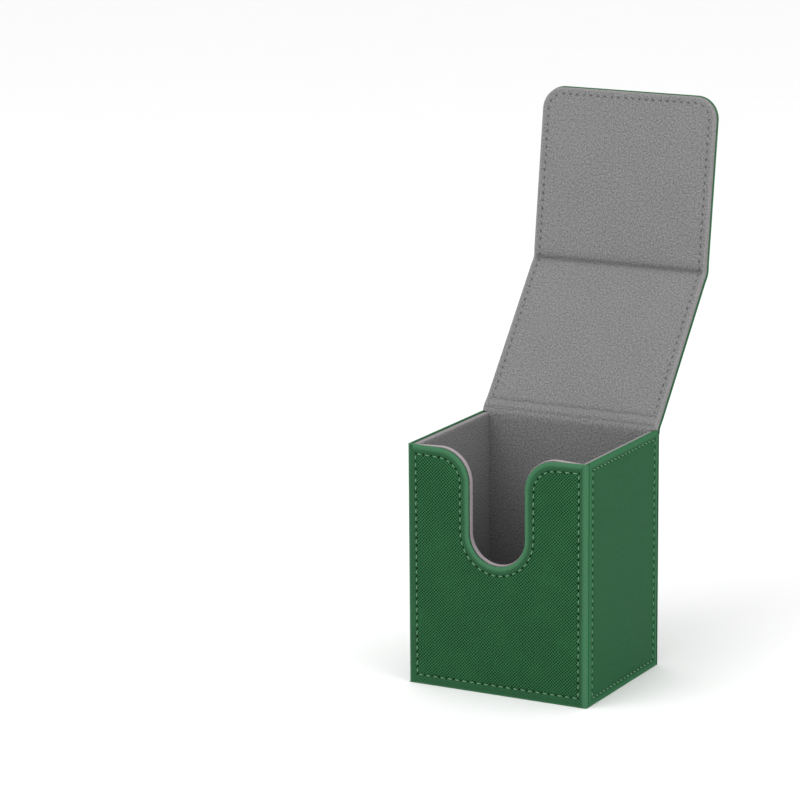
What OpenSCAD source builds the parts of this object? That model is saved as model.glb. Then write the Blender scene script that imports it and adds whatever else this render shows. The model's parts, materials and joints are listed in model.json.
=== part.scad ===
// Flip-top deck box for sleeved trading cards.
// Stiff board walls, leather outside and soft lining inside. The leather of the back wall runs
// on over the lid and down the flap, which magnets hold against the front wall.
// Front is -Y, the back hinge runs along X, and Z = 0 is the face that the box stands on.

/* [Box] */
// Outside width of the box, left to right
box_w = 82; // [76:1:96]
// Outside depth of the box, front to back
box_d = 69; // [60:1:90]
// Height of the box walls
box_h = 102; // [96:1:120]

/* [Layers] */
// Thickness of the outer leather
leather_t = 1.2; // [1:0.1:1.4]
// Thickness of the stiff board in the walls and the base
wall_board_t = 1.8; // [1.4:0.1:2.4]
// Thickness of the stiff board in the lid and the flap
lid_board_t = 1.6; // [1.4:0.1:2]
// Thickness of the soft lining
lining_t = 0.6; // [0.5:0.1:0.8]

/* [Thumb cut-out] */
// Width of the cut-out in the front wall, which ends in a half circle
cutout_w = 25; // [22:1:30]
// Depth of the cut-out below the rim
cutout_depth = 47; // [40:1:56]
// Radius of the rounded shoulders at the rim
shoulder_r = 14; // [6:1:14]

/* [Lid and flap] */
// Gap between the rim and the closed lid
lid_gap = 0.4; // [0.3:0.1:0.8]
// How far the closed flap's leather stands in front of the front wall
flap_stand = 5.1; // [4.8:0.1:6]
// Height of the closed flap's lower edge above the ground
flap_bottom = 29.6; // [24:0.1:32]
// Radius of the flap's lower corners
flap_corner_r = 10; // [6:1:14]

/* [Stored pose] */
// How far the open lid leans back from upright, in degrees
lid_lean = 39.5; // [30:0.5:45]
// How far the flap leans back from upright, in degrees
flap_lean = 8; // [5:0.5:12]

/* [Magnets] */
// Diameter of each disc magnet
magnet_d = 12; // [8:1:12]
// Thickness of each disc magnet
magnet_t = 1.2; // [0.8:0.1:1.2]
// Distance of each magnet from the middle of the box
magnet_x = 22; // [21:1:26]
// Height of the closed magnets above the ground
magnet_z = 42; // [40:1:44]

/* [Stitching] */
// Distance of the stitching from each panel's edge
seam_inset = 3.8; // [3:0.1:4.5]
// Width of the thread line
thread_w = 0.7; // [0.5:0.1:0.8]

/* [Hidden] */

$fn = 96;
cut = 1;              // how far a cutting shape runs past the face that it cuts
seam_depth = 0.3;     // depth of the sewn channel in the leather
lining_seam_depth = 0.2;
thread_proud = 0.2;   // how far the thread stands out of its channel
fit_gap = 0.1;        // clearance between the rear hinge's lining and the side walls

leather_green = [0.19, 0.37, 0.25];
flap_green = [0.21, 0.39, 0.27];
lining_grey = [0.55, 0.55, 0.55];
board_brown = [0.71, 0.66, 0.56];
thread_green = [0.47, 0.64, 0.49];
magnet_silver = [0.78, 0.78, 0.8];

// Half sizes of the nested layers of the box, from the outside in
half_w = box_w / 2;
half_d = box_d / 2;
board_half_w = half_w - leather_t;
board_half_d = half_d - leather_t;
inner_half_w = board_half_w - wall_board_t;
inner_half_d = board_half_d - wall_board_t;
room_half_w = inner_half_w - lining_t;
room_half_d = inner_half_d - lining_t;
base_board_z = leather_t;
base_lining_z = base_board_z + wall_board_t;
board_top = box_h - lining_t;

// Cut-out: heights of the centres of its lower half circle and of its shoulders
cutout_r = cutout_w / 2;
cutout_centre_z = box_h - cutout_depth + cutout_r;
shoulder_x = cutout_r + shoulder_r;
shoulder_z = box_h - shoulder_r;

// Lid and flap in the closed pose
lid_t = leather_t + lid_board_t + lining_t;
lid_under_z = box_h + lid_gap;
lid_top_z = lid_under_z + lid_t;
flap_face_y = -half_d - flap_stand;
axis_depth = 1.8;     // depth of both bending axes under the lid's leather face
hinge_y = half_d;
hinge_z = lid_top_z - axis_depth;
fold_y = flap_face_y + axis_depth;
fold_z = hinge_z;
hinge_free = 4;       // length of the strip without board, on each side of the rear axis
fold_free = 2.8;      // the same for the fold between lid and flap
lid_rear_y = hinge_y - hinge_free;
lid_front_y = fold_y + fold_free;
back_top_z = hinge_z - hinge_free;
flap_top_z = fold_z - fold_free;

// Turns from the closed pose to the stored one
lid_travel = 90 + lid_lean;
flap_travel = 90 - (lid_lean - flap_lean);

// ---------- placing ----------

// Plate upright across the box: its outline is drawn in X and Z, and it fills y to y + t
module across(y, t) {
    translate([0, y + t, 0]) rotate([90, 0, 0]) linear_extrude(t) children();
}

// Plate upright along the box: its outline is drawn in Y and Z, and it fills x to x + t
module along(x, t) {
    translate([x, 0, 0]) rotate([90, 0, 90]) linear_extrude(t) children();
}

// Level plate: its outline is drawn in X and Y, and it fills z to z + t
module level(z, t) {
    translate([0, 0, z]) linear_extrude(t) children();
}

// The same shape on the left and on the right
module both_sides() {
    children();
    mirror([1, 0, 0]) children();
}

// Turn about an axis along X through the point y, z
module turn_about(y, z, angle) {
    translate([0, y, z]) rotate([angle, 0, 0]) translate([0, -y, -z]) children();
}

module lid_at_rest() {
    turn_about(hinge_y, hinge_z, -lid_travel) children();
}

module flap_at_rest() {
    lid_at_rest() turn_about(fold_y, fold_z, -flap_travel) children();
}

// ---------- outlines ----------

module block_outline(half, low, high) {
    translate([-half, low]) square([2 * half, high - low]);
}

// The thumb cut-out, made wider all round by grow
module cutout_outline(grow) {
    radius = cutout_r + grow;
    corner_r = shoulder_r - grow;
    translate([-radius, cutout_centre_z]) square([2 * radius, box_h + cut - cutout_centre_z]);
    translate([0, cutout_centre_z]) circle(r = radius);
    both_sides() difference() {
        translate([cutout_r, shoulder_z]) square([shoulder_r, shoulder_r + cut]);
        translate([shoulder_x, shoulder_z]) circle(r = corner_r);
    }
}

// Front wall between two heights, with its cut-out
module front_outline(half, low, high, grow) {
    difference() {
        block_outline(half, low, high);
        cutout_outline(grow);
    }
}

// Flap in the closed pose, drawn in by inset at its sides and its lower edge
module flap_outline(inset, high) {
    corner_r = flap_corner_r - inset;
    difference() {
        block_outline(half_w - inset, flap_bottom + inset, high);
        both_sides() difference() {
            translate([half_w - flap_corner_r, flap_bottom + inset - cut])
                square([corner_r + cut, corner_r + cut]);
            translate([half_w - flap_corner_r, flap_bottom + flap_corner_r]) circle(r = corner_r);
        }
    }
}

// ---------- seams: the line that a thread follows on each panel ----------

module front_seam() {
    edge = seam_inset;
    far = seam_inset + thread_w;
    difference() {
        front_outline(half_w - edge, edge, box_h - edge, edge);
        front_outline(half_w - far, far, box_h - far, far);
    }
}

module side_seam() {
    far = seam_inset + thread_w;
    difference() {
        block_outline(board_half_d - seam_inset, seam_inset, box_h - seam_inset);
        block_outline(board_half_d - far, far, box_h - far);
    }
}

// Down both sides and along the bottom, and open at the top, where the leather runs on to the lid
module back_seam() {
    far = seam_inset + thread_w;
    difference() {
        block_outline(half_w - seam_inset, seam_inset, back_top_z);
        block_outline(half_w - far, far, back_top_z + cut);
    }
}

module lid_seam() {
    both_sides() translate([half_w - seam_inset - thread_w, lid_front_y])
        square([thread_w, lid_rear_y - lid_front_y]);
}

module flap_seam() {
    difference() {
        flap_outline(seam_inset, flap_top_z);
        flap_outline(seam_inset + thread_w, flap_top_z + cut);
    }
}

// ---------- box: leather ----------

module base_leather() {
    color(leather_green)
        level(0, leather_t) translate([-board_half_w, -board_half_d])
            square([2 * board_half_w, 2 * board_half_d]);
}

// Plan of a leather panel across the box at y = -half_d, with both of its outer edges rounded
module wrapped_plan() {
    translate([-half_w + leather_t, -half_d]) square([2 * (half_w - leather_t), leather_t]);
    both_sides() intersection() {
        translate([half_w - leather_t, -half_d + leather_t]) circle(r = leather_t);
        translate([half_w - leather_t, -half_d]) square(leather_t);
    }
}

module front_leather() {
    color(leather_green) difference() {
        level(0, box_h) wrapped_plan();
        across(-half_d - cut, leather_t + 2 * cut) cutout_outline(0);
        across(-half_d - cut, seam_depth + cut) front_seam();
    }
}

module back_leather() {
    color(leather_green) difference() {
        level(0, back_top_z) mirror([0, 1, 0]) wrapped_plan();
        across(half_d - seam_depth, seam_depth + cut) back_seam();
    }
}

module side_leather() {
    color(leather_green) difference() {
        along(board_half_w, leather_t) block_outline(board_half_d, 0, box_h);
        along(half_w - seam_depth, seam_depth + cut) side_seam();
    }
}

module right_leather() { side_leather(); }
module left_leather() { mirror([1, 0, 0]) side_leather(); }

// ---------- box: stiff boards ----------

module base_board() {
    color(board_brown)
        level(base_board_z, wall_board_t) translate([-inner_half_w, -inner_half_d])
            square([2 * inner_half_w, 2 * inner_half_d]);
}

module front_board() {
    color(board_brown) difference() {
        across(-board_half_d, wall_board_t)
            front_outline(inner_half_w, base_board_z, board_top, lining_t);
        both_sides() translate([magnet_x, -board_half_d - cut, magnet_z]) rotate([-90, 0, 0])
            cylinder(h = magnet_t + cut, d = magnet_d);
    }
}

module back_board() {
    color(board_brown) across(inner_half_d, wall_board_t)
        block_outline(inner_half_w, base_board_z, back_top_z);
}

module side_board() {
    color(board_brown) along(inner_half_w, wall_board_t)
        block_outline(board_half_d, base_board_z, board_top);
}

module right_board() { side_board(); }
module left_board() { mirror([1, 0, 0]) side_board(); }

// ---------- box: linings, which also cover the boards' edges at the rim ----------

module base_lining() {
    color(lining_grey)
        level(base_lining_z, lining_t) translate([-room_half_w, -room_half_d])
            square([2 * room_half_w, 2 * room_half_d]);
}

module front_lining() {
    color(lining_grey) difference() {
        across(-board_half_d, wall_board_t + lining_t)
            front_outline(inner_half_w, base_lining_z, box_h, 0);
        across(-board_half_d - cut, wall_board_t + cut)
            front_outline(inner_half_w + cut, 0, board_top, lining_t);
    }
}

module back_lining() {
    color(lining_grey) across(room_half_d, lining_t)
        block_outline(inner_half_w, base_lining_z, back_top_z);
}

module side_lining() {
    color(lining_grey) {
        along(room_half_w, lining_t) block_outline(room_half_d, base_lining_z, box_h);
        along(inner_half_w, wall_board_t) block_outline(board_half_d, board_top, box_h);
        along(inner_half_w - lining_t, 2 * lining_t) block_outline(room_half_d, board_top, box_h);
    }
}

module right_lining() { side_lining(); }
module left_lining() { mirror([1, 0, 0]) side_lining(); }

// ---------- box: magnets and stitching ----------

module front_magnets() {
    color(magnet_silver) both_sides()
        translate([magnet_x, -board_half_d, magnet_z]) rotate([-90, 0, 0])
            cylinder(h = magnet_t, d = magnet_d);
}

module front_stitching() {
    color(thread_green)
        across(-half_d - thread_proud, seam_depth + thread_proud) front_seam();
}

module back_stitching() {
    color(thread_green)
        across(half_d - seam_depth, seam_depth + thread_proud) back_seam();
}

module side_stitching() {
    color(thread_green)
        along(half_w - seam_depth, seam_depth + thread_proud) side_seam();
}

module right_stitching() { side_stitching(); }
module left_stitching() { mirror([1, 0, 0]) side_stitching(); }

// ---------- lid, drawn closed and turned to its stored pose ----------

module lid_plan(inset) {
    translate([-half_w + inset, lid_front_y])
        square([2 * (half_w - inset), lid_rear_y - lid_front_y]);
}

module lid_leather() {
    color(flap_green) lid_at_rest() difference() {
        level(lid_top_z - leather_t, leather_t) lid_plan(0);
        level(lid_top_z - seam_depth, seam_depth + cut) lid_seam();
    }
}

module lid_board() {
    color(board_brown) lid_at_rest()
        level(lid_under_z + lining_t, lid_board_t) lid_plan(lining_t);
}

// Lining of the lid, turned up over the board's two side edges
module lid_lining() {
    color(lining_grey) lid_at_rest() {
        difference() {
            level(lid_under_z, lining_t) lid_plan(0);
            level(lid_under_z - cut, lining_seam_depth + cut) lid_seam();
        }
        both_sides() level(lid_under_z, lining_t + lid_board_t)
            translate([half_w - lining_t, lid_front_y])
                square([lining_t, lid_rear_y - lid_front_y]);
    }
}

// Upper thread in the leather and lower thread in the lining
module lid_stitching() {
    color(thread_green) lid_at_rest() {
        level(lid_top_z - seam_depth, seam_depth + thread_proud) lid_seam();
        level(lid_under_z - thread_proud, lining_seam_depth + thread_proud) lid_seam();
    }
}

// ---------- flap, drawn closed and turned to its stored pose ----------

module flap_leather() {
    color(flap_green) flap_at_rest() difference() {
        across(flap_face_y, leather_t) flap_outline(0, flap_top_z);
        across(flap_face_y - cut, seam_depth + cut) flap_seam();
    }
}

module flap_board() {
    color(board_brown) flap_at_rest() difference() {
        across(flap_face_y + leather_t, lid_board_t) flap_outline(lining_t, flap_top_z);
        both_sides() translate([magnet_x, flap_face_y + lid_t - lining_t - magnet_t, magnet_z])
            rotate([-90, 0, 0]) cylinder(h = magnet_t + cut, d = magnet_d);
    }
}

// Lining of the flap, turned up over the board's side and lower edges
module flap_lining() {
    color(lining_grey) flap_at_rest() difference() {
        across(flap_face_y + leather_t, lid_board_t + lining_t) flap_outline(0, flap_top_z);
        across(flap_face_y + leather_t - cut, lid_board_t + cut)
            flap_outline(lining_t, flap_top_z + cut);
        across(flap_face_y + lid_t - lining_seam_depth, lining_seam_depth + cut) flap_seam();
    }
}

module flap_magnets() {
    color(magnet_silver) flap_at_rest() both_sides()
        translate([magnet_x, flap_face_y + lid_t - lining_t - magnet_t, magnet_z])
            rotate([-90, 0, 0]) cylinder(h = magnet_t, d = magnet_d);
}

module flap_stitching() {
    color(thread_green) flap_at_rest() {
        across(flap_face_y - thread_proud, seam_depth + thread_proud) flap_seam();
        across(flap_face_y + lid_t - lining_seam_depth, lining_seam_depth + thread_proud)
            flap_seam();
    }
}

// ---------- flexible strips, bent as they are in the stored pose ----------

// A point in Y and Z, turned about another one
function turned(p, about, angle) =
    let (d = p - about, c = cos(angle), s = sin(angle))
    about + [c * d[0] - s * d[1], s * d[0] + c * d[1]];
function lid_point(p) = turned(p, [hinge_y, hinge_z], -lid_travel);
function flap_point(p) = lid_point(turned(p, [fold_y, fold_z], -flap_travel));
function lean_direction(lean) = [sin(lean), cos(lean)];

// A smooth curve from a to b that leaves a along start and reaches b along finish
function curve_point(a, start, b, finish, reach, t) =
    let (u = 1 - t, c = a + reach * start, d = b - reach * finish)
    u * u * u * a + 3 * u * u * t * c + 3 * u * t * t * d + t * t * t * b;
function curve_slope(a, start, b, finish, reach, t) =
    let (u = 1 - t, c = a + reach * start, d = b - reach * finish)
    u * u * (c - a) + 2 * u * t * (d - c) + t * t * (b - d);
function sideways_of(slope) = [slope[1], -slope[0]] / norm(slope);

// Section of a strip of thickness t round that curve
module strip_section(a, start, b, finish, t) {
    steps = 12;
    reach = norm(b - a) / 3;
    edge = [for (side = [1, -1]) [for (i = [0 : steps])
        curve_point(a, start, b, finish, reach, i / steps) + side * t / 2
            * sideways_of(curve_slope(a, start, b, finish, reach, i / steps))]];
    polygon(concat(edge[0], [for (i = [steps : -1 : 0]) edge[1][i]]));
}

module across_box(half) {
    along(-half, 2 * half) children();
}

module rear_hinge_leather() {
    color(flap_green) across_box(half_w) strip_section(
        [half_d - leather_t / 2, back_top_z], lean_direction(0),
        lid_point([lid_rear_y, lid_top_z - leather_t / 2]), lean_direction(lid_lean), leather_t);
}

// The lining dips between the side walls, so it is narrower below the rim
module rear_hinge_lining() {
    rim = box_h + fit_gap;
    color(lining_grey) for (part = [[inner_half_w - fit_gap, 0, rim], [half_w, rim, 2 * box_h]])
        across_box(part[0]) intersection() {
            strip_section(
                [room_half_d + lining_t / 2, back_top_z], lean_direction(0),
                lid_point([lid_rear_y, lid_under_z + lining_t / 2]), lean_direction(lid_lean),
                lining_t);
            block_outline(box_d, part[1], part[2]);
        }
}

module fold_leather() {
    color(flap_green) across_box(half_w) strip_section(
        lid_point([lid_front_y, lid_top_z - leather_t / 2]), lean_direction(lid_lean),
        flap_point([flap_face_y + leather_t / 2, flap_top_z]), lean_direction(flap_lean),
        leather_t);
}

module fold_lining() {
    color(lining_grey) across_box(half_w) strip_section(
        lid_point([lid_front_y, lid_under_z + lining_t / 2]), lean_direction(lid_lean),
        flap_point([flap_face_y + lid_t - lining_t / 2, flap_top_z]), lean_direction(flap_lean),
        lining_t);
}

base_leather();
front_leather();
left_leather();
right_leather();
back_leather();
base_board();
front_board();
left_board();
right_board();
back_board();
base_lining();
front_lining();
left_lining();
right_lining();
back_lining();
front_magnets();
front_stitching();
left_stitching();
right_stitching();
back_stitching();
rear_hinge_leather();
rear_hinge_lining();
lid_leather();
lid_board();
lid_lining();
lid_stitching();
fold_leather();
fold_lining();
flap_leather();
flap_board();
flap_lining();
flap_magnets();
flap_stitching();
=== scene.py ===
"""Looks of the flip-top card deck box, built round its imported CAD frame.

Shapes are worked out in millimetres, and mesh_piece() turns them into metres. A panel is drawn flat:
u runs across it, v runs up it and h is the height over its back. Its place function puts it on the box.
"""
import json
import math

import bmesh
import bpy
import numpy as np
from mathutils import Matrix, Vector


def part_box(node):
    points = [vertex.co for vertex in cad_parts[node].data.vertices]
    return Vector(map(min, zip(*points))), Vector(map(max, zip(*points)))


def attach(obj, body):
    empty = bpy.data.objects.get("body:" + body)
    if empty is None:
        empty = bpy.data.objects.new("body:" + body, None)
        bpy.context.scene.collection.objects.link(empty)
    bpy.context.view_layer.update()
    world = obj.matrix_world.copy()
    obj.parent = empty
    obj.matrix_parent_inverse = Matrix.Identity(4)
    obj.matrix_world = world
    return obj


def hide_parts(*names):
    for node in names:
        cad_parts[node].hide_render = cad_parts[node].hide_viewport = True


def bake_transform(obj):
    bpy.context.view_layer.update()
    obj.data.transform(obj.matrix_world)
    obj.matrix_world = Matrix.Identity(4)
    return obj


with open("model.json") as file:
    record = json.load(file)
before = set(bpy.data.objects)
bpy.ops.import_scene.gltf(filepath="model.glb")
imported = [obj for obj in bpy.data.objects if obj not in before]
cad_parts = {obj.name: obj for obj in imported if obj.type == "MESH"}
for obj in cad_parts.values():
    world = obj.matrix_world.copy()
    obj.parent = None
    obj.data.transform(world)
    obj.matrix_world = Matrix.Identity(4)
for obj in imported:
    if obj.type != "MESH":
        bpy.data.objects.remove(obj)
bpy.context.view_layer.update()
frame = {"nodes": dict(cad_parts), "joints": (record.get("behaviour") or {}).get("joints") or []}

MM = 0.001


# ---------- sizes that the frame gives, in millimetres ----------

def corners(node):
    """Lowest and highest corner of a CAD node."""
    low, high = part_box(node)
    return np.array(low) / MM, np.array(high) / MM


def joint_named(name):
    return next(j for j in frame["joints"] if j["name"] == name)


def span(node, origin, direction):
    """How far a CAD node reaches from a point in Y and Z, along a direction in Y and Z."""
    points = np.array([v.co for v in frame["nodes"][node].data.vertices]) / MM
    reach = (points[:, 1:] - origin) @ direction
    return reach.min(), reach.max()


def along_lean(lean):
    """Direction in Y and Z that leans back from upright."""
    return np.array([math.sin(math.radians(lean)), math.cos(math.radians(lean))])


def out_of_lean(lean):
    """Direction in Y and Z at right angles to along_lean, on the leather side."""
    return np.array([math.cos(math.radians(lean)), -math.sin(math.radians(lean))])


FRONT_LOW, FRONT_HIGH = corners("front_leather")
HALF_W, HALF_D, BOX_H = FRONT_HIGH[0], -FRONT_LOW[1], FRONT_HIGH[2]
LEATHER_T = FRONT_HIGH[1] - FRONT_LOW[1]
BOARD_HALF_W, BOARD_HALF_D = -corners("left_board")[0][0], corners("left_board")[1][1]
ROOM_HALF_W = -corners("left_lining")[1][0]
ROOM_HALF_D = -corners("front_lining")[1][1]
LINING_T = corners("back_lining")[1][1] - corners("back_lining")[0][1]
WALL_LINING = BOARD_HALF_D - ROOM_HALF_D
BASE_LINING_Z = corners("base_lining")[0][2]
BACK_TOP = corners("back_leather")[1][2]

HINGE = np.array(joint_named("lid_hinge")["pos_m"][1:]) / MM
FOLD = np.array(joint_named("flap_fold")["pos_m"][1:]) / MM
LID_LEAN = joint_named("lid_hinge")["range_deg"][1] - 90
FOLD_BEND = -joint_named("flap_fold")["range_deg"][0]
FLAP_LEAN = LID_LEAN - FOLD_BEND
LID_ALONG, LID_OUT = along_lean(LID_LEAN), out_of_lean(LID_LEAN)
FLAP_ALONG, FLAP_OUT = along_lean(FLAP_LEAN), out_of_lean(FLAP_LEAN)
LID_FROM = span("lid_leather", HINGE, LID_ALONG)[0]
FLAP_TO = span("flap_leather", FOLD, FLAP_ALONG)[1]
FACE_H = span("lid_board", HINGE, LID_OUT)[1] + LEATHER_T
LINING_H = span("lid_lining", HINGE, LID_OUT)[0]
FOLD_AT = float((FOLD - HINGE) @ LID_ALONG)
LID_LINING = FACE_H - LEATHER_T - LINING_H

# ---------- sizes of the leather work, in millimetres ----------

# Outlines
CUTOUT_R = 12.5          # half width of the thumb cut-out
CUTOUT_CENTRE = 67.5     # height of the centre of its lower half circle
SHOULDER_R = 14.0        # radius of its shoulders at the rim
FLAP_CORNER_R = 10.0     # radius of the flap's free corners
SET_BACK = 0.35          # how far the leather stays back from the lining round the cut-out
EDGE_LINE = 0.5          # how far the lining stays back from the leather round the lid and the flap
CORNER_GAP = 0.8         # groove between a side panel and the leather that comes round the corner
GROOVE_FLOOR = 0.2       # thickness of the leather in that groove
RIM_DROP = 0.5           # how far the linings stay below the leather at the rim
LINE_GAP = 0.08          # gap between the leather and the lining's turned edge
INLAY_TUCK = 0.3         # how far the front and the back lining run in behind the side linings
SIDE_INLAY_GAP = 0.05    # gap between a side lining and the front and back boards

# Seams
WALL_SEAM = 3.9          # distance of the thread from the edge on the front and the back wall
SIDE_SEAM = 3.2          # the same on the side walls
LID_SEAM = 3.3           # the same on the lid and the flap
STITCH = 3.3             # length from one needle hole to the next
STITCH_END = 0.65        # where the thread dives, before and after a needle hole
THREAD_R = 0.26          # radius of the thread
LEATHER_LIFT = 0.1       # how far the middle of a stitch stands over the leather
LINING_LIFT = 0.02       # the same over the lining
CHANNEL = 0.26           # depth of the channel that the thread pulls into the leather
CHANNEL_REACH = 0.5      # how far the channel reaches to each side
PIT = 0.45               # further depth of a needle hole
PIT_ALONG = 0.6          # how far the hole's pit reaches along the seam
PIT_ACROSS = 0.34        # how far it reaches across the seam
SWELL = 0.10             # how far the margin outside the seam swells
LINING_PULL = 0.5        # how deep the seam lies in a lining, compared with leather

# Turned edges
BASE_ROLL = 0.4          # radius of the leather's turned edge under the base
RIM_ROLL = 0.4           # the same at the rim
LEATHER_ROLL = 0.55      # the same along a side panel's upright edges
LID_ROLL = 0.6           # the same round the lid and the flap
LINING_ROLL = 0.5        # the same where a lining is turned over a board
INLAY_ROLL = 0.3         # the same round a lining that lies flat
CORNER_ROLL = 2.4        # how far in from the corner the front's leather starts to turn
LEATHER_EDGE = 2.4       # width of the lighter band along a leather edge, a painted highlight
LINING_EDGE = 1.2        # width of the lighter band of turned-over colour along a lining's edge
NO_EDGE = 0.01           # the same where no band shows

# Soft strips
STRIP_HALF = 4.8         # half length of the soft stretch at the fold
FOLD_SOFT = 4.3          # half length of its bend
FOLD_BLEND = 4.0         # how far from its axis it follows both bodies
FOLD_GROOVES = ((1.45, 0.95), (0.4, 2.4))   # depth and reach of the pressed groove and of the hollow round it
HINGE_LENGTH = 9.2       # length of the rear strip
HINGE_BLEND = (3.6, 3.1)                    # how far it follows both bodies, below and above its axis
HINGE_FACE = (2.4, 3.6)                     # handles of its outer face, at the wall and at the lid
HINGE_BACK = (2.9, 3.5)                     # the same for the back of its leather
HINGE_LINING = (5.2, 3.2)                   # the same for the face of its lining
HINGE_CREASES = ((0.34, 0.84, 0.08), (0.16, 0.3, 0.1))   # depth, place and reach, as shares of the lining
HINGE_TUCK = 0.2         # how far its lining runs in over the side linings
PRESSED = (1.2, 2.8)     # how far from a strip's side edges its lining starts to be pressed in, and is fully

# Meshes and patterns
STEPS = 10               # mesh steps along a stitch
FACE_FROM = 3            # number of the first level that takes part in the sewing
SHADED = -0.01           # inset that marks a level as lying deep in a groove or a gap, which is painted dark as shade
SEAM_LEVELS = (-1.2, -0.72, -0.42, -0.2, 0, 0.2, 0.42, 0.72, 1.2, 2.2)   # mesh lines beside a seam
ROLL_ANGLES = np.radians([0, 20, 40, 60, 75, 90])                        # mesh lines round a turned edge
INLAY_LEVEL = 1.5        # last mesh line of a lining without a seam, in from its turned edge
HINGE_ROWS = 33          # mesh rows along the rear strip
HATCH_PITCH = 1.4        # distance of the leather's ridges, along an edge of the panel


def smoothstep(low, high, value):
    t = np.clip((value - low) / (high - low), 0, 1)
    return t * t * (3 - 2 * t)


# ---------- outlines ----------

def line(start, end):
    return {"kind": "line", "start": np.array(start, float), "end": np.array(end, float)}


def arc(centre, radius, first, last):
    """Arc between two angles in degrees. It turns left where last is the larger."""
    return {"kind": "arc", "centre": np.array(centre, float), "radius": radius, "from": first, "to": last}


def left_of(part):
    """Unit vector to the left of a straight run."""
    along = part["end"] - part["start"]
    return np.array([-along[1], along[0]]) / np.linalg.norm(along)


class Outline:
    """A panel's edge as straight runs and arcs, walked with the panel on its left."""

    def __init__(self, parts, closed=True, seam=WALL_SEAM):
        self.parts, self.closed = parts, closed
        self.stitches = [1] * len(parts)
        self.seam = self.spread(seam)
        ends = self.ring(self.seam)
        ends = np.vstack([ends, ends[:1]]) if closed else ends
        runs = [self.length(i, ends[i * STEPS], ends[(i + 1) * STEPS]) for i in range(len(parts))]
        self.stitches = [max(1, round(run / STITCH)) for run in runs]
        self.steps = [run / n / STEPS for run, n in zip(runs, self.stitches)]

    def spread(self, value):
        """One value for each part of the outline."""
        return list(value) if hasattr(value, "__len__") else [value] * len(self.parts)

    def length(self, i, start, end):
        part = self.parts[i]
        if part["kind"] == "line":
            return float(np.linalg.norm(end - start))
        return float(np.linalg.norm(start - part["centre"]) * abs(math.radians(part["to"] - part["from"])))

    def neighbour(self, i, step):
        j = i + step
        if not self.closed and not 0 <= j < len(self.parts):
            return None
        return j % len(self.parts)

    def moved_end(self, i, insets, step):
        """An end of straight run i, moved in with the run and with the run that it meets there."""
        part = self.parts[i]
        point = part["start" if step < 0 else "end"] + insets[i] * left_of(part)
        j = self.neighbour(i, step)
        if j is not None and self.parts[j]["kind"] == "line":
            point = point + insets[j] * left_of(self.parts[j])
        return point

    def ring(self, insets):
        """Points of the outline moved in by a distance for each part."""
        points = []
        for i, part in enumerate(self.parts):
            count = self.stitches[i] * STEPS
            t = (np.arange(count) / count)[:, None]
            if part["kind"] == "line":
                start, end = self.moved_end(i, insets, -1), self.moved_end(i, insets, 1)
                points.append(start + (end - start) * t)
            else:
                turn = math.copysign(1, part["to"] - part["from"])
                angle = np.radians(part["from"] + (part["to"] - part["from"]) * t)
                radius = part["radius"] - turn * insets[i]
                points.append(part["centre"] + radius * np.hstack([np.cos(angle), np.sin(angle)]))
        if not self.closed:
            points.append(self.moved_end(len(self.parts) - 1, insets, 1)[None])
        return np.vstack(points)

    def each_point(self, values):
        """A value for each part, given to each point of a ring."""
        listed = [v for v, n in zip(values, self.stitches) for _ in range(n * STEPS)]
        return np.array(listed if self.closed else listed + [values[-1]], float)

    def to_hole(self):
        """Distance of each point along the seam from the nearest needle hole."""
        place = np.concatenate([np.arange(n * STEPS) % STEPS for n in self.stitches])
        place = place if self.closed else np.append(place, 0)
        return np.minimum(place, STEPS - place) * self.each_point(self.steps)

    def stitch_ends(self):
        holes = self.ring(self.seam)[::STEPS]
        after = np.roll(holes, -1, axis=0)
        return list(zip(holes, after)) if self.closed else list(zip(holes[:-1], holes[1:]))


def block(half, low, high):
    """Rectangle, from its lower left corner round to the left."""
    a, b, c, d = (-half, low), (half, low), (half, high), (-half, high)
    return [line(a, b), line(b, c), line(c, d), line(d, a)]


def open_block(half, low, high):
    """Rectangle without its upper edge."""
    a, b, c, d = (-half, high), (-half, low), (half, low), (half, high)
    return [line(a, b), line(b, c), line(c, d)]


def front_parts(half, low, high, grow):
    """Front wall with its thumb cut-out, which grow makes wider all round."""
    wide, corner_r = CUTOUT_R + grow, SHOULDER_R - grow
    shoulder_x, shoulder_z = CUTOUT_R + SHOULDER_R, BOX_H - SHOULDER_R
    return [
        line((-half, low), (half, low)), line((half, low), (half, high)),
        line((half, high), (shoulder_x, BOX_H - grow)),
        arc((shoulder_x, shoulder_z), corner_r, 90, 180),
        line((wide, shoulder_z), (wide, CUTOUT_CENTRE)),
        arc((0, CUTOUT_CENTRE), wide, 0, -180),
        line((-wide, CUTOUT_CENTRE), (-wide, shoulder_z)),
        arc((-shoulder_x, shoulder_z), corner_r, 0, 90),
        line((-shoulder_x, BOX_H - grow), (-half, high)), line((-half, high), (-half, low))]


def flap_parts(half, start, end, radius):
    """Flap in the flat, open where it meets the fold, with v running away from the fold."""
    side = half - radius
    return [
        line((half, start), (half, end - radius)), arc((side, end - radius), radius, 0, 90),
        line((side, end), (-side, end)), arc((-side, end - radius), radius, 90, 180),
        line((-half, end - radius), (-half, start))]


# ---------- levels: distance from the edge and height over the back, from the back to the face ----------

def roll_levels(height, roll, reach=None):
    """A turned edge of radius roll, drawn out to reach across the panel where that is given."""
    return [((reach or roll) * (1 - math.cos(a)), height - roll + roll * math.sin(a)) for a in ROLL_ANGLES]


def face_levels(height, roll, seam):
    margin = np.linspace(roll, seam + SEAM_LEVELS[0], 5)[1:-1]
    inner = [seam + e for e in SEAM_LEVELS]
    return [(d, height) for d in [*margin, *inner]]


def leather_levels(thickness, roll, seam, reach=None):
    return [(0, 0)] + roll_levels(thickness, roll, reach) + face_levels(thickness, reach or roll, seam)


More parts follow.
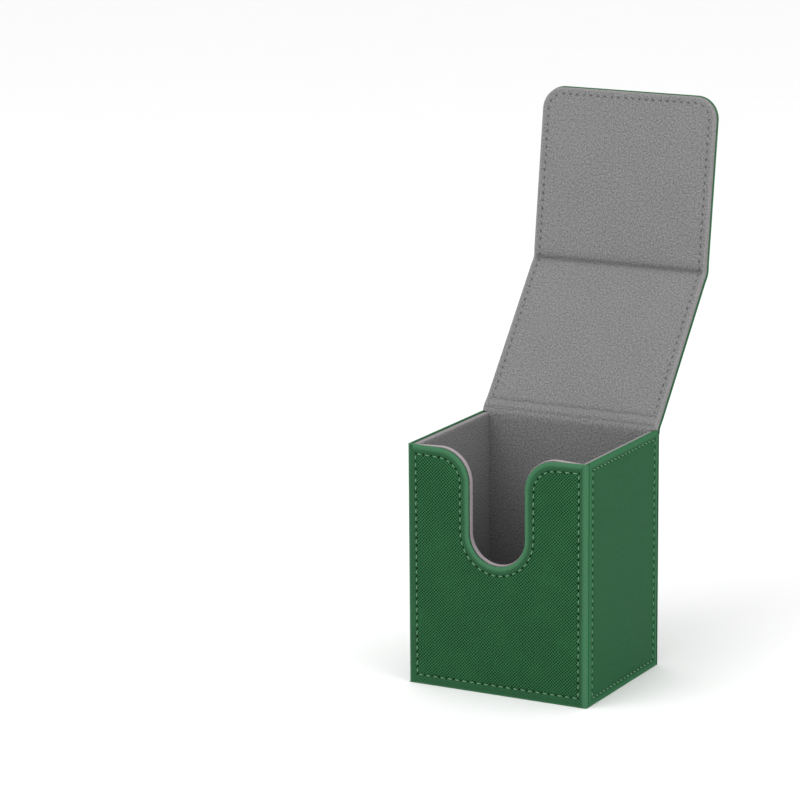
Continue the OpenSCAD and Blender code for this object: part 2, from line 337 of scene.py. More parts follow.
def lining_levels(depth, roll, seam=None):
    """Lining that is turned over a board's edge, so that it is a shallow tray with its face outwards."""
    tray = [(LINING_T, depth - LINING_T), (LINING_T, LINE_GAP), (0, LINE_GAP)]
    face = face_levels(depth, roll, seam) if seam else [(roll + INLAY_LEVEL, depth)]
    return tray + roll_levels(depth, roll) + face


def relief(inset, to_hole, seam, sewn, edge_width):
    """Height that the sewing adds, with the marks for needle holes (painted dark as shade), for the margin
    and for the edge (a painted highlight band on leather).

    sewn is how strongly the thread pulls: 0 for a panel without a seam.
    """
    off = inset - seam
    edge = 1 - smoothstep(0.4 * edge_width, edge_width, inset)
    if not sewn:
        return 0 * off, 0 * off, 0 * off, edge
    swell = SWELL * np.sin(math.pi * np.clip(inset / seam, 0, 1))
    pit = np.exp(-(to_hole / PIT_ALONG) ** 2 - (off / PIT_ACROSS) ** 2)
    channel = np.exp(-(off / CHANNEL_REACH) ** 2)
    margin = 1 - smoothstep(-0.3, 0.5, off)
    return sewn * (swell - CHANNEL * channel - PIT * pit), pit, margin, edge


# ---------- meshes ----------

def mesh_piece(name, points, faces, material, marks=None):
    """A piece from points in millimetres, with marks as its point attributes."""
    mesh = bpy.data.meshes.new(name)
    mesh.from_pydata([tuple(p) for p in np.asarray(points) * MM], [], faces)
    for mark, values in (marks or {}).items():
        values = np.asarray(values, np.float32)
        if values.ndim == 2:
            mesh.attributes.new(mark, "FLOAT_VECTOR", "POINT").data.foreach_set("vector", values.ravel())
        else:
            mesh.attributes.new(mark, "FLOAT", "POINT").data.foreach_set("value", values)
    work = bmesh.new()
    work.from_mesh(mesh)
    bmesh.ops.triangulate(work, faces=[f for f in work.faces if len(f.verts) > 4])
    work.to_mesh(mesh)
    work.free()
    mesh.shade_smooth()
    mesh.set_sharp_from_angle(angle=math.radians(50))
    mesh.materials.append(material)
    piece = bpy.data.objects.new(name, mesh)
    bpy.context.scene.collection.objects.link(piece)
    return piece


def panel(name, outline, levels, place, material, sewn=1, edge_width=LEATHER_EDGE):
    """A flat panel with a worked edge. levels holds one list of levels for each part of the outline."""
    levels = levels if isinstance(levels[0], list) else [levels] * len(outline.parts)
    seams, to_hole = outline.each_point(outline.seam), outline.to_hole()
    widths = outline.each_point(outline.spread(edge_width))
    top = max(part[-1][1] for part in levels)
    rings, marks = [], {"grain": [], "pit": [], "margin": [], "edge": []}
    for k in range(len(levels[0])):
        insets = [part[k][0] for part in levels]
        inset = outline.each_point(insets)
        heights = outline.each_point([part[k][1] for part in levels])
        flat = outline.ring(insets)
        on_face = k >= FACE_FROM
        add, pit, margin, edge = relief(inset, to_hole, seams, sewn, widths)
        raised = heights + add * smoothstep(0.5 * top, top, heights) * on_face
        rings.append(np.column_stack([flat, raised]))
        marks["grain"].append(np.column_stack([flat, raised - top]))
        # Painted shade: levels set in below zero, in grooves and gaps, and the needle holes get the dark
        # mark.
        marks["pit"].append(np.where(inset < 0, 1, pit * on_face))
        marks["margin"].append(margin)
        marks["edge"].append(edge)
    count = len(rings[0])
    reach = count if outline.closed else count - 1
    faces = [tuple(reversed(range(count)))]
    for k in range(len(rings) - 1):
        a, b = k * count, (k + 1) * count
        for j in range(reach):
            after = (j + 1) % count
            faces.append((a + j, a + after, b + after, b + j))
    last = (len(rings) - 1) * count
    faces.append(tuple(range(last, last + count)))
    if not outline.closed:
        starts = [k * count for k in range(len(rings))]
        ends = [s + count - 1 for s in reversed(starts)]
        faces.append(tuple(starts + ends))
    u, v, h = np.vstack(rings).T
    marks = {mark: np.concatenate(values) for mark, values in marks.items()}
    return mesh_piece(name, place(u, v, h), faces, material, marks)


def ribbon(name, half, levels, rows, place, material,
           seam=LID_SEAM, sewn=1, edge_width=LEATHER_EDGE, length=1):
    """A strip whose two long edges are worked and whose ends run on into its neighbours.

    half is its half width, or one for each row, and length is how many millimetres one unit of v is.
    """
    inset = np.array([d for d, _ in levels])
    height = np.array([h for _, h in levels])
    halves = half if hasattr(half, "__len__") else np.full(len(rows), half)
    step = abs(rows[1] - rows[0])
    loops, marks = [], {"grain": [], "pit": [], "margin": [], "edge": []}
    for i, (v, wide) in enumerate(zip(rows, halves)):
        to_hole = min(i % STEPS, STEPS - i % STEPS) * step
        add, pit, margin, edge = relief(inset, to_hole, seam, sewn, edge_width)
        on_face = np.arange(len(inset)) >= FACE_FROM
        raised = height + add * smoothstep(0.5 * height[-1], height[-1], height) * on_face
        u = np.concatenate([inset - wide, wide - inset[::-1]])
        h = np.concatenate([raised, raised[::-1]])
        loops.append(np.column_stack([u, np.full(len(u), v), h]))
        marks["grain"].append(loops[-1] * [1, length, 1] - [0, 0, height[-1]])
        for mark, values in (("pit", pit * on_face), ("margin", margin), ("edge", edge)):
            marks[mark].append(np.concatenate([values, values[::-1]]))
    count = len(loops[0])
    faces = [tuple(reversed(range(count)))]
    for i in range(len(loops) - 1):
        a, b = i * count, (i + 1) * count
        faces += [(a + j, a + (j + 1) % count, b + (j + 1) % count, b + j) for j in range(count)]
    last = (len(loops) - 1) * count
    faces.append(tuple(range(last, last + count)))
    u, v, h = np.vstack(loops).T
    marks = {mark: np.concatenate(values) for mark, values in marks.items()}
    return mesh_piece(name, place(u, v, h), faces, material, marks)


def thread(name, stitches, place, surface, material, lift=LEATHER_LIFT):
    """Two-ply stitches. Each one rises out of a needle hole, lies on the leather and dives into the next."""
    sides, rings, turns, slant = 8, 9, 2.0, 0.06
    dive, thin_end, ply_depth = 0.42, 0.72, 0.17
    t = np.linspace(0, 1, rings)
    around = np.arange(sides) * 2 * math.pi / sides
    rise = -dive + (dive + lift) * np.sin(math.pi * t) ** 0.55 - CHANNEL * 0.5
    points, faces, marks = [], [], []
    for start, end in stitches:
        along = (end - start) / np.linalg.norm(end - start)
        side = np.array([-along[1], along[0]])
        nudge = slant * side + STITCH_END * along
        first, last = start + nudge, end - nudge
        base = len(points)
        for tt, up in zip(t, rise):
            ply = 1 + ply_depth * np.cos(2 * (around - turns * math.pi * tt))
            radius = THREAD_R * (thin_end + (1 - thin_end) * math.sin(math.pi * tt)) * ply
            centre = first + (last - first) * tt
            for a, r in zip(around, radius):
                sideways = centre + side * r * math.cos(a)
                points.append((*sideways, surface + up + r * math.sin(a)))
                marks.append((tt * STITCH, a, 0))
        for k in range(rings - 1):
            for j in range(sides):
                a, b = base + k * sides + j, base + k * sides + (j + 1) % sides
                faces.append((a, b, b + sides, a + sides))
        faces.append(tuple(reversed(range(base, base + sides))))
        faces.append(tuple(range(base + (rings - 1) * sides, base + rings * sides)))
    u, v, h = np.array(points).T
    return mesh_piece(name, place(u, v, h), faces, material, {"grain": np.array(marks)})


def edge_stitches(rows, half, seam=LID_SEAM):
    """Ends of the stitches down both edges of a ribbon."""
    at = rows[::STEPS]
    return [(np.array([u, a]), np.array([u, b]))
            for u in (seam - half, half - seam) for a, b in zip(at[:-1], at[1:])]


def stitched_rows(start, end):
    return np.linspace(start, end, max(1, round(abs(end - start) / STITCH)) * STEPS + 1)


# ---------- place functions: from u, v and h to the box ----------

def on_front(u, v, h):
    return np.column_stack([u, -BOARD_HALF_D - h, v])


def on_back(u, v, h):
    return np.column_stack([-u, BOARD_HALF_D + h, v])


def on_right(u, v, h):
    return np.column_stack([BOARD_HALF_W + h, u, v])


def on_left(u, v, h):
    return np.column_stack([-BOARD_HALF_W - h, -u, v])


def on_base(u, v, h):
    return np.column_stack([u, -v, LEATHER_T - h])


def in_front(u, v, h):
    return np.column_stack([-u, h - BOARD_HALF_D, v])


def in_back(u, v, h):
    return np.column_stack([u, ROOM_HALF_D + LINING_T - h, v])


def in_right(u, v, h):
    return np.column_stack([BOARD_HALF_W - h, -u, v])


def in_left(u, v, h):
    return np.column_stack([h - BOARD_HALF_W, u, v])


def in_base(u, v, h):
    return np.column_stack([u, v, BASE_LINING_Z + h])


def in_plane(x, origin, along, out, s, h):
    """Points at s along a lid or flap and h out of its axis, in the stored pose."""
    y, z = origin[:, None] + np.outer(along, s) + np.outer(out, h)
    return np.column_stack([x, y, z])


def lid_leather_place(u, v, h):
    return in_plane(-u, HINGE, LID_ALONG, LID_OUT, v, FACE_H - LEATHER_T + h)


def lid_lining_place(u, v, h):
    return in_plane(u, HINGE, LID_ALONG, LID_OUT, v, FACE_H - LEATHER_T - h)


def flap_leather_place(u, v, h):
    return in_plane(-u, FOLD, FLAP_ALONG, FLAP_OUT, v, FACE_H - LEATHER_T + h)


def flap_lining_place(u, v, h):
    return in_plane(u, FOLD, FLAP_ALONG, FLAP_OUT, v, FACE_H - LEATHER_T - h)


def folded(x, s, h):
    """The soft stretch at the fold: flat in line with the lid, then bent about the fold's axis."""
    flat = np.outer(s, LID_ALONG) + np.outer(h, LID_OUT)
    angle = np.radians(FOLD_BEND) * smoothstep(-FOLD_SOFT, FOLD_SOFT, s)
    y = flat[:, 0] * np.cos(angle) - flat[:, 1] * np.sin(angle)
    z = flat[:, 0] * np.sin(angle) + flat[:, 1] * np.cos(angle)
    return np.column_stack([x, FOLD[0] + y, FOLD[1] + z])


def fold_leather_place(u, v, h):
    return folded(-u, v, FACE_H - LEATHER_T + h)


def away_from_sides(u, h):
    """1 in the middle of a strip's lining and all over its glued side, and 0 at its side edges."""
    glued = h < LID_LINING - LINING_T + 0.01
    return np.where(glued, 1, smoothstep(*PRESSED, HALF_W - np.abs(u)))


def fold_lining_place(u, v, h):
    """The lining is pressed into the gap between the two boards, except close to its side edges."""
    groove = sum(depth * np.exp(-(v / reach) ** 2) for depth, reach in FOLD_GROOVES)
    top = FACE_H - LEATHER_T
    bottom = LINING_H + groove * away_from_sides(u, h)
    return folded(u, v, top + (bottom - top) * h / LID_LINING)


def curve(a, start, b, finish, t):
    """Cubic from a to b with handles start and finish, at each t."""
    t = np.asarray(t)[:, None]
    c, d = a + start, b - finish
    return (1 - t) ** 3 * a + 3 * (1 - t) ** 2 * t * c + 3 * (1 - t) * t ** 2 * d + t ** 3 * b


def hinge_curve(wall_y, lid_h, handles, t):
    """Section of one layer of the rear hinge, from the top of the back wall to the lid."""
    rise, reach = handles
    start = np.array([wall_y, BACK_TOP])
    end = HINGE + LID_FROM * LID_ALONG + lid_h * LID_OUT
    return curve(start, rise * along_lean(0), end, reach * LID_ALONG, t)


def hinge_leather_back(v):
    """The leather's inner side, which the lining is glued to."""
    return hinge_curve(BOARD_HALF_D, FACE_H - LEATHER_T, HINGE_BACK, v)


def hinge_leather_place(u, v, h):
    back = hinge_leather_back(v)
    face = hinge_curve(HALF_D, FACE_H, HINGE_FACE, v)
    return np.column_stack([-u, back + (face - back) * (h / LEATHER_T)[:, None]])


def hinge_lining_face(v):
    return hinge_curve(ROOM_HALF_D, LINING_H, HINGE_LINING, v)


def hinge_lining_place(u, v, h):
    back, face = hinge_leather_back(v), hinge_lining_face(v)
    crease = sum(depth * np.exp(-((v - at) / reach) ** 2) for depth, at, reach in HINGE_CREASES)
    share = h / LID_LINING * (1 - crease * away_from_sides(u, h))
    return np.column_stack([u, back + (face - back) * share[:, None]])


# ---------- materials ----------

def linear(red, green, blue):
    """A colour from its 8-bit screen values."""
    values = [c / 255 for c in (red, green, blue)]
    return (*[c / 12.92 if c <= 0.04045 else ((c + 0.055) / 1.055) ** 2.4 for c in values], 1)


# Painted shade for the leather's needle holes, grooves and gaps.
PAINTED_LEATHER_SHADE = linear(4, 14, 8)
# Painted shade for the lining's needle holes.
PAINTED_LINING_SHADE = linear(36, 38, 37)
PLAIN_GREEN = linear(25, 80, 46)
# Painted highlight colour along the edges of plain leather and of the side leather.
PLAIN_HIGHLIGHT = linear(50, 110, 72)
LINING_DARK, LINING_LIGHT = linear(94, 94, 94), linear(136, 136, 136)


class Shader:
    """Short calls for the nodes of one material."""

    def __init__(self, name, **constants):
        self.material = bpy.data.materials.new(name)
        self.material.use_nodes = True
        self.tree = self.material.node_tree
        self.principled = self.tree.nodes["Principled BSDF"]
        for key, value in constants.items():
            self.principled.inputs[key.replace("_", " ")].default_value = value

    def put(self, socket, value):
        if isinstance(value, bpy.types.NodeSocket):
            self.tree.links.new(value, socket)
        else:
            socket.default_value = value

    def node(self, kind, inputs, **settings):
        made = self.tree.nodes.new(kind)
        for key, value in settings.items():
            setattr(made, key, value)
        for key, value in inputs.items():
            self.put(made.inputs[key], value)
        return made

    def math(self, operation, *values):
        return self.node("ShaderNodeMath", dict(enumerate(values)), operation=operation).outputs[0]

    def mark(self, name, output="Fac"):
        return self.node("ShaderNodeAttribute", {}, attribute_name=name).outputs[output]

    def noise(self, where, scale, detail=3.0, roughness=0.55):
        inputs = {"Vector": where, "Scale": scale, "Detail": detail, "Roughness": roughness}
        return self.node("ShaderNodeTexNoise", inputs).outputs["Fac"]

    def mix(self, share, first, second):
        made = self.node("ShaderNodeMix", {}, data_type="RGBA")
        for socket, value in zip((made.inputs[0], made.inputs[6], made.inputs[7]), (share, first, second)):
            self.put(socket, value)
        return made.outputs[2]

    def bump(self, height, depth):
        inputs = {"Height": height, "Strength": 1.0, "Distance": depth * MM}
        self.put(self.principled.inputs["Normal"], self.node("ShaderNodeBump", inputs).outputs[0])

    def colour(self, value):
        self.put(self.principled.inputs["Base Color"], value)

    def roughness(self, value):
        self.put(self.principled.inputs["Roughness"], value)

    def millimetres(self):
        """Place on an object that stands at the frame's origin."""
        inputs = {0: self.node("ShaderNodeTexCoord", {}).outputs["Object"], 1: (1 / MM,) * 3}
        return self.node("ShaderNodeVectorMath", inputs, operation="MULTIPLY").outputs[0]


def cross_hatch(shader, pitch):
    """Ridges that cross each other on both diagonals, as pressed into the leather."""
    grain = shader.mark("grain", "Vector")
    parts = shader.node("ShaderNodeSeparateXYZ", {0: grain}).outputs
    sway = shader.math("MULTIPLY", shader.math("SUBTRACT", shader.noise(grain, 0.45), 0.5), 0.5)
    u = shader.math("ADD", parts[0], sway)
    ridges = []
    for side in ("ADD", "SUBTRACT"):
        turn = shader.math("MULTIPLY", shader.math(side, u, parts[1]), math.pi / pitch)
        ridges.append(shader.math("ABSOLUTE", shader.math("SINE", turn)))
    return shader.math("SUBTRACT", 1, shader.math("MINIMUM", *ridges)), grain


def leather(name, dark, light, edge, depth):
    """Cross-hatched leather that is smoother outside its seam, with a painted highlight that is faint there
    and strong where it turns over, and painted shade in its needle holes, grooves and gaps.

    The hatching fades into plain leather where the mark "plain" says so.
    """
    shader = Shader(name, Specular_IOR_Level=0.06)
    hatch, grain = cross_hatch(shader, HATCH_PITCH)
    pit, margin, turned = shader.mark("pit"), shader.mark("margin"), shader.mark("edge")
    plain = shader.mark("plain")
    inside = shader.math("SUBTRACT", 1, shader.math("MULTIPLY", margin, 0.3))
    ridge = shader.math("MULTIPLY", shader.math("POWER", hatch, 2.0), inside)
    pores = shader.noise(grain, 2.2)
    drift = shader.noise(grain, 0.06, 2.0)
    tone = shader.math("ADD", ridge, shader.math("MULTIPLY", pores, 0.1))
    colour = shader.mix(plain, shader.mix(tone, dark, light), PLAIN_GREEN)
    # Painted highlight: the margin takes a little of the highlight colour and the turned edge much of it.
    edge = shader.mix(plain, edge, PLAIN_HIGHLIGHT)
    colour = shader.mix(shader.math("MULTIPLY", margin, 0.15), colour, edge)
    colour = shader.mix(shader.math("MULTIPLY", turned, 0.6), colour, edge)
    colour = shader.mix(shader.math("MULTIPLY", shader.math("SUBTRACT", drift, 0.45), 0.4), colour, light)
    # Painted shade, dark in the needle holes and in the grooves and gaps.
    colour = shader.mix(shader.math("MULTIPLY", pit, 0.95), colour, PAINTED_LEATHER_SHADE)
    shader.colour(colour)
    shader.roughness(shader.math("ADD", 0.4, shader.math("MULTIPLY", pores, 0.2)))
    woven = shader.math("MULTIPLY", ridge, shader.math("SUBTRACT", 1, plain))
    shader.bump(shader.math("ADD", woven, shader.math("MULTIPLY", pores, 0.35)), depth)
    return shader.material


def microfibre(name, dark, light, turned_over, share):
    """Fine-grained lining, which takes a share of another colour where it turns over an edge."""
    shader = Shader(name, Roughness=0.85, Specular_IOR_Level=0.15, Sheen_Weight=0.1, Sheen_Roughness=0.5)
    grain, pit, edge = shader.mark("grain", "Vector"), shader.mark("pit"), shader.mark("edge")
    pebble = shader.noise(grain, 1.35, 2.0, 0.6)
    drift = shader.noise(grain, 0.05, 1.0)
    tone = shader.math("SUBTRACT", shader.math("MULTIPLY", pebble, 2.8), 0.95)
    tone = shader.math("ADD", tone, shader.math("MULTIPLY", drift, 0.15))
    colour = shader.mix(tone, dark, light)
    colour = shader.mix(shader.math("MULTIPLY", edge, share), colour, turned_over)
    # Painted shade in the lining's needle holes.
    shader.colour(shader.mix(shader.math("MULTIPLY", pit, 0.8), colour, PAINTED_LINING_SHADE))
    shader.bump(pebble, 0.26)
    return shader.material


def sewing_thread(name, dark, light):
    shader = Shader(name, Roughness=0.6, Specular_IOR_Level=0.3, Sheen_Weight=0.2)
    fibres = shader.noise(shader.millimetres(), 6.0, 4.0)
    shader.colour(shader.mix(fibres, dark, light))
    shader.bump(fibres, 0.05)
    return shader.material


def grey_board():
    shader = Shader("grey_board", Roughness=0.9, Specular_IOR_Level=0.2)
    where = shader.millimetres()
    fibres = shader.noise(where, 1.4, 6.0, 0.7)
    shader.colour(shader.mix(fibres, linear(150, 138, 116), linear(200, 188, 165)))
    shader.bump(fibres, 0.08)
    return shader.material


def plated_steel():
    shader = Shader("plated_steel", Metallic=1.0, Roughness=0.3)
    inputs = {"Vector": shader.millimetres(), "Scale": (0.4, 1, 9)}
    streaks = shader.noise(shader.node("ShaderNodeMapping", inputs).outputs[0], 2.0, 4.0)
    shader.colour(shader.mix(streaks, linear(176, 178, 182), linear(214, 216, 220)))
    shader.roughness(shader.math("ADD", 0.2, shader.math("MULTIPLY", streaks, 0.25)))
    shader.bump(streaks, 0.01)
    return shader.material


def studio_white(name, value):
    shader = Shader(name, Roughness=0.8)
    speckle = shader.noise(shader.millimetres(), 0.02, 2.0)
    shader.colour(shader.mix(speckle, linear(value - 2, value - 2, value - 2), linear(value, value, value)))
    return shader.material


# The third colour of each leather is its painted highlight along edges.
FRONT_LEATHER = leather(
    "front_leather_green", linear(3, 25, 11), linear(56, 122, 76), linear(76, 128, 94), 0.2)
SIDE_LEATHER = leather(
    "side_leather_green", linear(17, 69, 37), linear(35, 95, 57), PLAIN_HIGHLIGHT, 0.06)
LINING = microfibre(
    "grey_lining", LINING_DARK, LINING_LIGHT, linear(150, 143, 145), 0.35)
CUTOUT_LINING = microfibre(
    "front_lining_grey", LINING_DARK, LINING_LIGHT, linear(168, 156, 161), 0.8)
GREEN_THREAD = sewing_thread("green_thread", linear(56, 106, 70), linear(106, 156, 116))
GREY_THREAD = sewing_thread("grey_thread", linear(96, 96, 96), linear(150, 150, 150))


# ---------- pieces ----------

LINED_HALF_W, LINED_SEAM = HALF_W - EDGE_LINE, LID_SEAM - EDGE_LINE
LINED_LEVELS = lining_levels(LID_LINING, LINING_ROLL, LINED_SEAM)


def settle(piece, body, slot, *nodes):
    """A piece that moves with one body and stands for CAD nodes."""
    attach(piece, body)
    if nodes:
        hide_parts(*nodes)


def add_base():
    flat = Outline(block(BOARD_HALF_W, -BOARD_HALF_D, BOARD_HALF_D))
    levels = leather_levels(LEATHER_T, BASE_ROLL, WALL_SEAM)
    cover = panel("base_cover", flat, levels, on_base, SIDE_LEATHER, 0)
    settle(cover, "box", "leather", "base_leather")
    inside = Outline(block(ROOM_HALF_W, -ROOM_HALF_D, ROOM_HALF_D))
    levels = leather_levels(LINING_T, INLAY_ROLL, WALL_SEAM)
    floor = panel("base_inlay", inside, levels, in_base, LINING, 0)
    settle(floor, "box", "lining", "base_lining")


def add_front():
    edge = Outline(front_parts(HALF_W, 0, BOX_H, SET_BACK))
    straight = leather_levels(LEATHER_T, RIM_ROLL, WALL_SEAM)
    corner = leather_levels(LEATHER_T, LEATHER_T, WALL_SEAM, CORNER_ROLL)
    # Round the cut-out the leather's back edge is painted dark, as the shade in the gap to the lining.
    cutout = [(SHADED, 0)] + straight[1:]
    levels = [straight, corner, straight] + [cutout] * 5 + [straight, corner]
    # The painted highlight is narrow along the base and widest at the right-hand corner.
    painted_highlight_widths = [0.6, 2.8] + [LEATHER_EDGE] * 7 + [1.2]
    cover = panel("front_cover", edge, levels, on_front, FRONT_LEATHER, edge_width=painted_highlight_widths)
    settle(cover, "box", "leather", "front_leather")
    stitches = thread("front_thread", edge.stitch_ends(), on_front, LEATHER_T, GREEN_THREAD)
    settle(stitches, "box", "thread", "front_stitching")
    room = Outline(front_parts(ROOM_HALF_W + INLAY_TUCK, BASE_LINING_Z, BOX_H - RIM_DROP, 0))
    inlay = panel("front_inlay", room, lining_levels(WALL_LINING, LINING_ROLL), in_front,
                  CUTOUT_LINING, 0, LINING_EDGE)
    settle(inlay, "box", "lining", "front_lining")


def add_side(side, outside, inside):
    edge = Outline(block(BOARD_HALF_D - CORNER_GAP, 0, BOX_H), seam=SIDE_SEAM)
    level = [(0, 0), (0, GROOVE_FLOOR / 2), (0, GROOVE_FLOOR)]
    level += leather_levels(LEATHER_T, RIM_ROLL, SIDE_SEAM)[1:]
    # The upright edges also make the floor of the groove beside the corner, and that floor is painted dark as
    # shade.
    upright = [(-CORNER_GAP, 0), (-CORNER_GAP, GROOVE_FLOOR), (SHADED, GROOVE_FLOOR + 0.05)]
    upright += leather_levels(LEATHER_T, LEATHER_ROLL, SIDE_SEAM)[1:]
    levels = [level, upright, level, upright]
    cover = panel(side + "_cover", edge, levels, outside, SIDE_LEATHER)
    settle(cover, "box", "leather", side + "_leather")
    stitches = thread(side + "_thread", edge.stitch_ends(), outside, LEATHER_T, GREEN_THREAD)
    settle(stitches, "box", "thread", side + "_stitching")
    room = Outline(block(BOARD_HALF_D - SIDE_INLAY_GAP, BASE_LINING_Z, BOX_H - RIM_DROP))
    inlay = panel(side + "_inlay", room, lining_levels(WALL_LINING, LINING_ROLL), inside,
                  LINING, 0, LINING_EDGE)
    settle(inlay, "box", "lining", side + "_lining")


def add_back():
    edge = Outline(open_block(HALF_W, 0, BACK_TOP), closed=False)
    levels = leather_levels(LEATHER_T, LEATHER_T, WALL_SEAM)
    cover = panel("back_cover", edge, levels, on_back, FRONT_LEATHER)
    settle(cover, "box", "leather", "back_leather")
    stitches = thread("back_thread", edge.stitch_ends(), on_back, LEATHER_T, GREEN_THREAD)
    settle(stitches, "box", "thread", "back_stitching")
    room = Outline(open_block(ROOM_HALF_W + INLAY_TUCK, BASE_LINING_Z, BACK_TOP), closed=False)
    levels = leather_levels(LINING_T, INLAY_ROLL, WALL_SEAM)
    inlay = panel("back_inlay", room, levels, in_back, LINING, 0, NO_EDGE)
    settle(inlay, "box", "lining", "back_lining")


def add_lid():
    rows = stitched_rows(LID_FROM, FOLD_AT - STRIP_HALF)
    levels = leather_levels(LEATHER_T, LID_ROLL, LID_SEAM)
    cover = ribbon("lid_cover", HALF_W, levels, rows, lid_leather_place, SIDE_LEATHER)
    settle(cover, "lid_top", "leather", "lid_leather")
    inlay = ribbon("lid_inlay", LINED_HALF_W, LINED_LEVELS, rows, lid_lining_place, LINING,
                   LINED_SEAM, LINING_PULL, LINING_EDGE)
    settle(inlay, "lid_top", "lining", "lid_lining")
    ends = edge_stitches(rows, HALF_W)
    outer = thread("lid_thread", ends, lid_leather_place, LEATHER_T, GREEN_THREAD)
    inner = thread("lid_thread_inside", ends, lid_lining_place, LID_LINING, GREY_THREAD, LINING_LIFT)
    for stitches in (outer, inner):
        settle(stitches, "lid_top", "thread", "lid_stitching")


def add_flap():
    edge = Outline(flap_parts(HALF_W, STRIP_HALF, FLAP_TO, FLAP_CORNER_R), closed=False, seam=LID_SEAM)
    levels = leather_levels(LEATHER_T, LID_ROLL, LID_SEAM)
    cover = panel("flap_cover", edge, levels, flap_leather_place, FRONT_LEATHER)
    settle(cover, "lid_flap", "leather", "flap_leather")
    lined = flap_parts(LINED_HALF_W, STRIP_HALF, FLAP_TO - EDGE_LINE, FLAP_CORNER_R - EDGE_LINE)
    inner_edge = Outline(lined, closed=False, seam=LINED_SEAM)
    inlay = panel("flap_inlay", inner_edge, LINED_LEVELS, flap_lining_place,
                  LINING, LINING_PULL, LINING_EDGE)
    settle(inlay, "lid_flap", "lining", "flap_lining")
    outer = thread("flap_thread", edge.stitch_ends(), flap_leather_place, LEATHER_T, GREEN_THREAD)
    inner = thread("flap_thread_inside", inner_edge.stitch_ends(), flap_lining_place,
                   LID_LINING, GREY_THREAD, LINING_LIFT)
    for stitches in (outer, inner):
        settle(stitches, "lid_flap", "thread", "flap_stitching")


def across(piece, slot, bodies, start, end, *nodes):
    """A piece placed between two bodies, with its placement baked into its mesh; it does not bend, and the
    bodies and the two points are not used.
    """
    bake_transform(piece)
    if nodes:
        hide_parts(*nodes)


def fade_hatching(piece, start, end):
    """Lets a strip's hatching fade out from one place along it to another."""
    mesh = piece.data
    grain = np.empty(3 * len(mesh.vertices), np.float32)
    mesh.attributes["grain"].data.foreach_get("vector", grain)
    plain = smoothstep(start, end, grain[1::3]).astype(np.float32)
    mesh.attributes.new("plain", "FLOAT", "POINT").data.foreach_set("value", plain)


def add_rear_hinge():
    bodies = ("box", "lid_top")
    middle = along_lean(LID_LEAN / 2)
    start, end = HINGE - HINGE_BLEND[0] * middle, HINGE + HINGE_BLEND[1] * middle
    rows = np.linspace(0, 1, HINGE_ROWS)
    levels = leather_levels(LEATHER_T, LID_ROLL, LID_SEAM)
    cover = ribbon("rear_hinge_cover", HALF_W, levels, rows, hinge_leather_place, FRONT_LEATHER,
                   sewn=0, length=HINGE_LENGTH)
    fade_hatching(cover, 0, HINGE_LENGTH)
    across(cover, "leather", bodies, start, end, "rear_hinge_leather")
    # Between the side walls the lining is as wide as the room, and over the rim as wide as the lid's.
    height = hinge_lining_face(rows)[:, 1]
    narrow = ROOM_HALF_W + HINGE_TUCK
    half = narrow + (LINED_HALF_W - narrow) * smoothstep(BOX_H - 0.5, BOX_H + 0.2, height)
    inlay = ribbon("rear_hinge_inlay", half, LINED_LEVELS, rows, hinge_lining_place, LINING,
                   sewn=0, edge_width=LINING_EDGE, length=HINGE_LENGTH)
    across(inlay, "lining", bodies, start, end, "rear_hinge_lining")


def add_fold():
    bodies = ("lid_top", "lid_flap")
    rows = stitched_rows(-STRIP_HALF, STRIP_HALF)
    start, end = folded([0, 0], np.array([-FOLD_BLEND, FOLD_BLEND]), np.array([0, 0]))[:, 1:]
    levels = leather_levels(LEATHER_T, LID_ROLL, LID_SEAM)
    cover = ribbon("fold_cover", HALF_W, levels, rows, fold_leather_place, FRONT_LEATHER)
    fade_hatching(cover, STRIP_HALF, -STRIP_HALF)
    across(cover, "leather", bodies, start, end, "fold_leather")
    inlay = ribbon("fold_inlay", LINED_HALF_W, LINED_LEVELS, rows, fold_lining_place, LINING,
                   LINED_SEAM, LINING_PULL, LINING_EDGE)
    across(inlay, "lining", bodies, start, end, "fold_lining")
    ends = edge_stitches(rows, HALF_W)
    outer = thread("fold_thread", ends, fold_leather_place, LEATHER_T, GREEN_THREAD)
    inner = thread("fold_thread_inside", ends, fold_lining_place, LID_LINING, GREY_THREAD, LINING_LIFT)
    for stitches in (outer, inner):
        across(stitches, "thread", bodies, start, end)


def finish_hidden_parts():
    """Boards and magnets keep their CAD shape and get their own finish."""
    board, steel = grey_board(), plated_steel()
    for name, node in frame["nodes"].items():
        if name.endswith("_board") or name.endswith("_magnets"):
            node.data.materials.clear()
            node.data.materials.append(board if name.endswith("_board") else steel)


# ---------- camera, floor and light ----------

def look_from(azimuth, elevation):
    """Direction from the box towards a viewer."""
    a, e = math.radians(azimuth), math.radians(elevation)
    return Vector((math.sin(a) * math.cos(e), -math.cos(a) * math.cos(e), math.sin(e)))


CAMERA_AZIMUTH, CAMERA_ELEVATION = 26.8, 13.7      # degrees
CAMERA_DISTANCE = 1.504                            # metres from the middle of the rim
CAMERA_LENS = 164.2                                # millimetres
CAMERA_SHIFT = (-0.1683, 0.0453)
FLOOR_DROP = 0.02                                  # how far the floor lies below the box, in millimetres


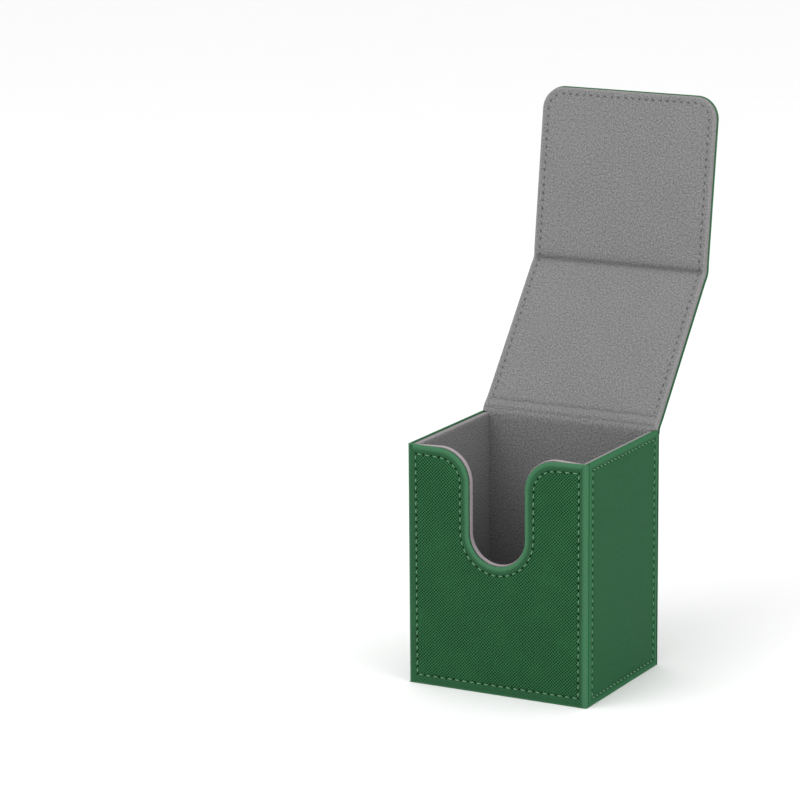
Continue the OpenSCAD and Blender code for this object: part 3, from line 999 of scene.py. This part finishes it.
def add_camera():
    camera = bpy.data.objects.new("camera", bpy.data.cameras.new("camera"))
    bpy.context.scene.collection.objects.link(camera)
    towards = look_from(CAMERA_AZIMUTH, CAMERA_ELEVATION)
    camera.location = Vector((0, 0, BOX_H * MM)) + towards * CAMERA_DISTANCE
    camera.rotation_euler = towards.to_track_quat("Z", "Y").to_euler()
    camera.data.lens = CAMERA_LENS
    camera.data.shift_x, camera.data.shift_y = CAMERA_SHIFT
    camera.data.clip_end = 30
    bpy.context.scene.camera = camera


def add_floor():
    half, steps = 3.0, 12
    ticks = np.linspace(-half, half, steps + 1) / MM
    points = [(x, y, -FLOOR_DROP) for y in ticks for x in ticks]
    wide = steps + 1
    faces = [(j * wide + i, j * wide + i + 1, (j + 1) * wide + i + 1, (j + 1) * wide + i)
             for j in range(steps) for i in range(steps)]
    floor = mesh_piece("floor", points, faces, studio_white("pale_floor", 250))


def add_softbox(name, azimuth, elevation, distance, size, power):
    light = bpy.data.objects.new(name, bpy.data.lights.new(name, "AREA"))
    bpy.context.scene.collection.objects.link(light)
    light.data.shape, light.data.size, light.data.size_y = "RECTANGLE", *size
    light.data.energy = power
    towards = look_from(azimuth, elevation)
    light.location = Vector((0, 0, BOX_H * MM)) + towards * distance
    light.rotation_euler = towards.to_track_quat("Z", "Y").to_euler()


def add_light():
    world = bpy.data.worlds.new("studio")
    world.use_nodes = True
    world.node_tree.nodes["Background"].inputs["Color"].default_value = (1, 1, 1, 1)
    world.node_tree.nodes["Background"].inputs["Strength"].default_value = 1.0
    bpy.context.scene.world = world
    bpy.context.scene.view_settings.view_transform = "Standard"
    add_softbox("key", azimuth=-25, elevation=48, distance=1.3, size=(0.9, 0.9), power=6)
    add_softbox("fill", azimuth=75, elevation=30, distance=1.5, size=(0.8, 1.0), power=4)


add_camera()
add_floor()
add_light()
add_base()
add_front()
add_side("left", on_left, in_left)
add_side("right", on_right, in_right)
add_back()
add_lid()
add_flap()
add_rear_hinge()
add_fold()
finish_hidden_parts()
